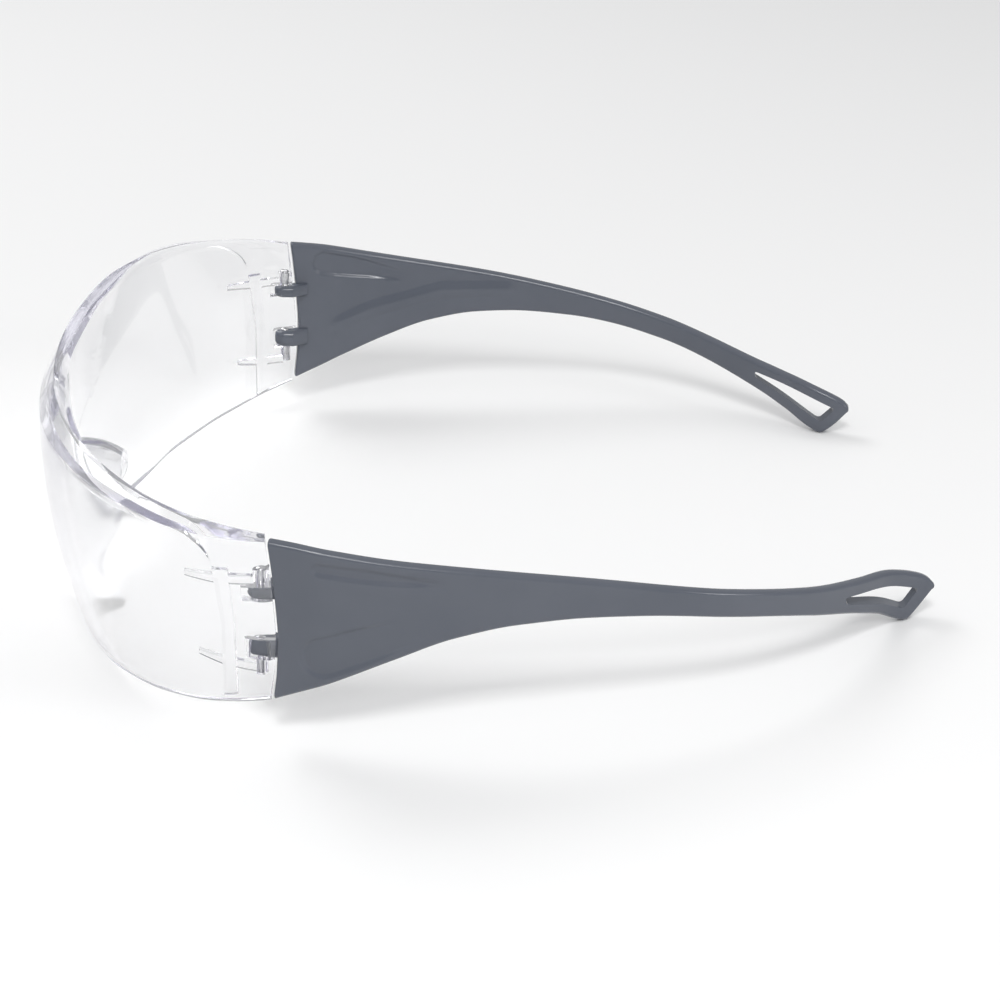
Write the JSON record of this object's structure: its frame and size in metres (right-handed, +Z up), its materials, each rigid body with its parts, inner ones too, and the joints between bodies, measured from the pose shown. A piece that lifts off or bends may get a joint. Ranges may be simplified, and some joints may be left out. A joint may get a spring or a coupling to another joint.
{
  "type": "safety glasses",
  "caption": "Wrap-round safety glasses with a clear one-piece lens and folding grey temples that end in slotted tips.",
  "frame": {"origin": "on the table, under the middle of the open glasses' bounding box", "axes": "+Z up, the lens faces -Y and the temples run back to +Y, +X is the wearer's left"},
  "size_m": [0.1486, 0.1577, 0.0436],
  "materials": {
    "clear_polycarbonate": "clear polished polycarbonate with a faint violet tint in its thick edges",
    "grey_plastic": "glossy moulded slate grey plastic",
    "pin_steel": "bright drawn steel wire"
  },
  "bodies": {
    "front": {"lens": "clear_polycarbonate", "left_upper_hinge_pin": "pin_steel", "left_lower_hinge_pin": "pin_steel", "right_upper_hinge_pin": "pin_steel", "right_lower_hinge_pin": "pin_steel"},
    "left_temple": {"left_temple": "grey_plastic"},
    "right_temple": {"right_temple": "grey_plastic"}
  },
  "joints": [
    {"name": "left_temple_hinge", "type": "hinge", "parent": "front", "child": "left_temple", "pos_m": [0.0685, -0.0375, 0.016], "axis": [0.0449, 0.0628, 0.997], "range_deg": [0, 82]},
    {"name": "right_temple_hinge", "type": "hinge", "parent": "front", "child": "right_temple", "pos_m": [-0.0685, -0.0375, 0.016], "axis": [0.0449, -0.0628, -0.997], "range_deg": [0, 70]}
  ]
}
